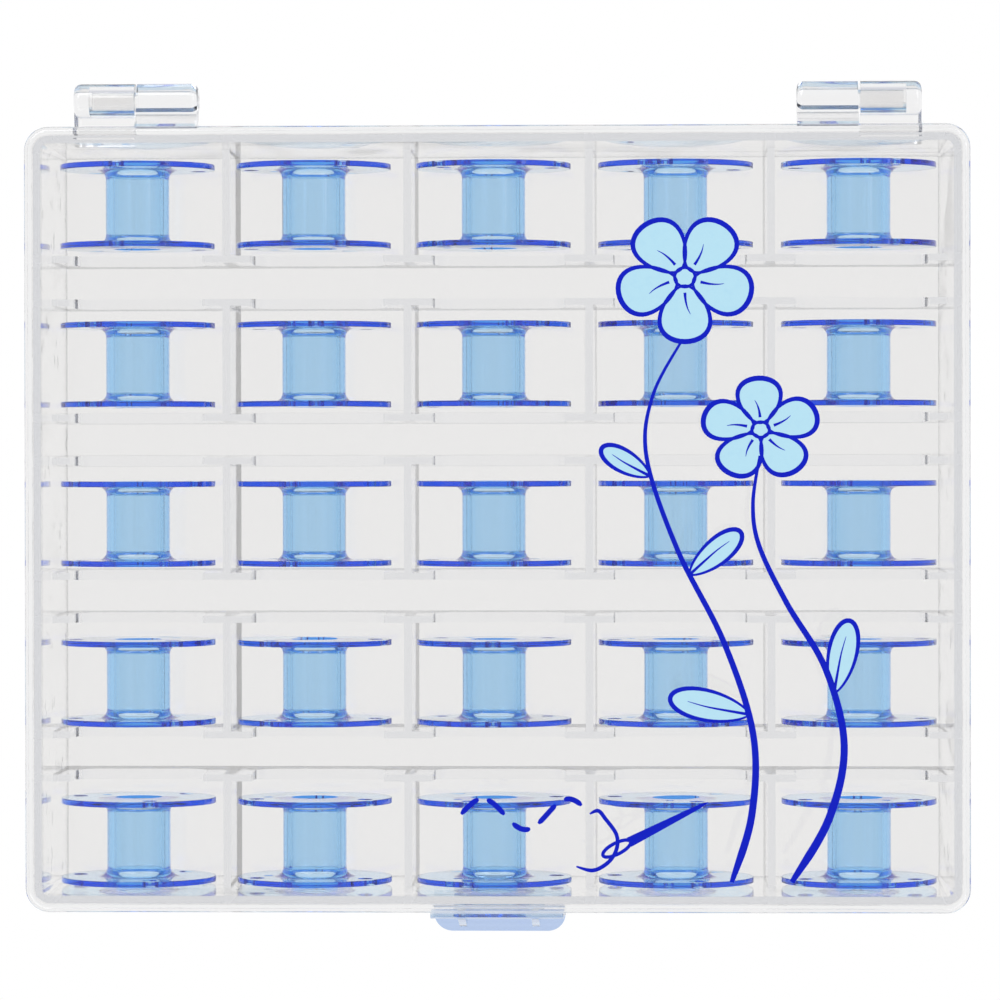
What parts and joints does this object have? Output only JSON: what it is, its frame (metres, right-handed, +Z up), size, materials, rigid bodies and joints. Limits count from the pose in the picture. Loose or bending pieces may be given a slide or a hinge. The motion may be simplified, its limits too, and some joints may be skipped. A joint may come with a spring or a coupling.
{
  "type": "bobbin box",
  "caption": "Flat clear box with a hinged latching lid, holding transparent blue bobbins on edge in a grid of cells.",
  "frame": {"origin": "centre of the tray's underside", "axes": "+X along a row of bobbins, +Y to the hinge side, +Z up through the closed lid"},
  "size_m": [0.1234, 0.1122, 0.024],
  "materials": {
    "tray_plastic": "clear polystyrene, polished mould finish",
    "lid_plastic": "clear polystyrene, polished mould finish",
    "bobbin_plastic": "transparent blue polystyrene, polished mould finish"
  },
  "bodies": {
    "tray": {"tray": "tray_plastic"},
    "lid": {"lid": "lid_plastic"},
    "bobbin_r1_c1": {"bobbin_r1_c1": "bobbin_plastic"},
    "bobbin_r1_c2": {"bobbin_r1_c2": "bobbin_plastic"},
    "bobbin_r1_c3": {"bobbin_r1_c3": "bobbin_plastic"},
    "bobbin_r1_c4": {"bobbin_r1_c4": "bobbin_plastic"},
    "bobbin_r1_c5": {"bobbin_r1_c5": "bobbin_plastic"},
    "bobbin_r2_c1": {"bobbin_r2_c1": "bobbin_plastic"},
    "bobbin_r2_c2": {"bobbin_r2_c2": "bobbin_plastic"},
    "bobbin_r2_c3": {"bobbin_r2_c3": "bobbin_plastic"},
    "bobbin_r2_c4": {"bobbin_r2_c4": "bobbin_plastic"},
    "bobbin_r2_c5": {"bobbin_r2_c5": "bobbin_plastic"},
    "bobbin_r3_c1": {"bobbin_r3_c1": "bobbin_plastic"},
    "bobbin_r3_c2": {"bobbin_r3_c2": "bobbin_plastic"},
    "bobbin_r3_c3": {"bobbin_r3_c3": "bobbin_plastic"},
    "bobbin_r3_c4": {"bobbin_r3_c4": "bobbin_plastic"},
    "bobbin_r3_c5": {"bobbin_r3_c5": "bobbin_plastic"},
    "bobbin_r4_c1": {"bobbin_r4_c1": "bobbin_plastic"},
    "bobbin_r4_c2": {"bobbin_r4_c2": "bobbin_plastic"},
    "bobbin_r4_c3": {"bobbin_r4_c3": "bobbin_plastic"},
    "bobbin_r4_c4": {"bobbin_r4_c4": "bobbin_plastic"},
    "bobbin_r4_c5": {"bobbin_r4_c5": "bobbin_plastic"},
    "bobbin_r5_c1": {"bobbin_r5_c1": "bobbin_plastic"},
    "bobbin_r5_c2": {"bobbin_r5_c2": "bobbin_plastic"},
    "bobbin_r5_c3": {"bobbin_r5_c3": "bobbin_plastic"},
    "bobbin_r5_c4": {"bobbin_r5_c4": "bobbin_plastic"},
    "bobbin_r5_c5": {"bobbin_r5_c5": "bobbin_plastic"}
  },
  "joints": [
    {"name": "lid_hinge", "type": "hinge", "parent": "tray", "child": "lid", "pos_m": [0, 0.05492, 0.0182], "axis": [-1, 0, 0], "range_deg": [0, 180]},
    {"name": "bobbin_r1_c1_spin", "type": "hinge", "parent": "tray", "child": "bobbin_r1_c1", "pos_m": [-0.048, 0.04134, 0.01155], "axis": [0, 1, 0], "continuous": true},
    {"name": "bobbin_r1_c2_spin", "type": "hinge", "parent": "tray", "child": "bobbin_r1_c2", "pos_m": [-0.02455, 0.04134, 0.01155], "axis": [0, 1, 0], "continuous": true},
    {"name": "bobbin_r1_c3_spin", "type": "hinge", "parent": "tray", "child": "bobbin_r1_c3", "pos_m": [-0.00069, 0.04134, 0.01155], "axis": [0, 1, 0], "continuous": true},
    {"name": "bobbin_r1_c4_spin", "type": "hinge", "parent": "tray", "child": "bobbin_r1_c4", "pos_m": [0.02341, 0.04134, 0.01155], "axis": [0, 1, 0], "continuous": true},
    {"name": "bobbin_r1_c5_spin", "type": "hinge", "parent": "tray", "child": "bobbin_r1_c5", "pos_m": [0.04759, 0.04134, 0.01155], "axis": [0, 1, 0], "continuous": true},
    {"name": "bobbin_r2_c1_spin", "type": "hinge", "parent": "tray", "child": "bobbin_r2_c1", "pos_m": [-0.048, 0.02035, 0.01155], "axis": [0, 1, 0], "continuous": true},
    {"name": "bobbin_r2_c2_spin", "type": "hinge", "parent": "tray", "child": "bobbin_r2_c2", "pos_m": [-0.02455, 0.02035, 0.01155], "axis": [0, 1, 0], "continuous": true},
    {"name": "bobbin_r2_c3_spin", "type": "hinge", "parent": "tray", "child": "bobbin_r2_c3", "pos_m": [-0.00069, 0.02035, 0.01155], "axis": [0, 1, 0], "continuous": true},
    {"name": "bobbin_r2_c4_spin", "type": "hinge", "parent": "tray", "child": "bobbin_r2_c4", "pos_m": [0.02341, 0.02035, 0.01155], "axis": [0, 1, 0], "continuous": true},
    {"name": "bobbin_r2_c5_spin", "type": "hinge", "parent": "tray", "child": "bobbin_r2_c5", "pos_m": [0.04759, 0.02035, 0.01155], "axis": [0, 1, 0], "continuous": true},
    {"name": "bobbin_r3_c1_spin", "type": "hinge", "parent": "tray", "child": "bobbin_r3_c1", "pos_m": [-0.048, -0.00064, 0.01155], "axis": [0, 1, 0], "continuous": true},
    {"name": "bobbin_r3_c2_spin", "type": "hinge", "parent": "tray", "child": "bobbin_r3_c2", "pos_m": [-0.02455, -0.00064, 0.01155], "axis": [0, 1, 0], "continuous": true},
    {"name": "bobbin_r3_c3_spin", "type": "hinge", "parent": "tray", "child": "bobbin_r3_c3", "pos_m": [-0.00069, -0.00064, 0.01155], "axis": [0, 1, 0], "continuous": true},
    {"name": "bobbin_r3_c4_spin", "type": "hinge", "parent": "tray", "child": "bobbin_r3_c4", "pos_m": [0.02341, -0.00064, 0.01155], "axis": [0, 1, 0], "continuous": true},
    {"name": "bobbin_r3_c5_spin", "type": "hinge", "parent": "tray", "child": "bobbin_r3_c5", "pos_m": [0.04759, -0.00064, 0.01155], "axis": [0, 1, 0], "continuous": true},
    {"name": "bobbin_r4_c1_spin", "type": "hinge", "parent": "tray", "child": "bobbin_r4_c1", "pos_m": [-0.048, -0.02163, 0.01155], "axis": [0, 1, 0], "continuous": true},
    {"name": "bobbin_r4_c2_spin", "type": "hinge", "parent": "tray", "child": "bobbin_r4_c2", "pos_m": [-0.02455, -0.02163, 0.01155], "axis": [0, 1, 0], "continuous": true},
    {"name": "bobbin_r4_c3_spin", "type": "hinge", "parent": "tray", "child": "bobbin_r4_c3", "pos_m": [-0.00069, -0.02163, 0.01155], "axis": [0, 1, 0], "continuous": true},
    {"name": "bobbin_r4_c4_spin", "type": "hinge", "parent": "tray", "child": "bobbin_r4_c4", "pos_m": [0.02341, -0.02163, 0.01155], "axis": [0, 1, 0], "continuous": true},
    {"name": "bobbin_r4_c5_spin", "type": "hinge", "parent": "tray", "child": "bobbin_r4_c5", "pos_m": [0.04759, -0.02163, 0.01155], "axis": [0, 1, 0], "continuous": true},
    {"name": "bobbin_r5_c1_spin", "type": "hinge", "parent": "tray", "child": "bobbin_r5_c1", "pos_m": [-0.048, -0.04262, 0.01155], "axis": [0, 1, 0], "continuous": true},
    {"name": "bobbin_r5_c2_spin", "type": "hinge", "parent": "tray", "child": "bobbin_r5_c2", "pos_m": [-0.02455, -0.04262, 0.01155], "axis": [0, 1, 0], "continuous": true},
    {"name": "bobbin_r5_c3_spin", "type": "hinge", "parent": "tray", "child": "bobbin_r5_c3", "pos_m": [-0.00069, -0.04262, 0.01155], "axis": [0, 1, 0], "continuous": true},
    {"name": "bobbin_r5_c4_spin", "type": "hinge", "parent": "tray", "child": "bobbin_r5_c4", "pos_m": [0.02341, -0.04262, 0.01155], "axis": [0, 1, 0], "continuous": true},
    {"name": "bobbin_r5_c5_spin", "type": "hinge", "parent": "tray", "child": "bobbin_r5_c5", "pos_m": [0.04759, -0.04262, 0.01155], "axis": [0, 1, 0], "continuous": true}
  ]
}
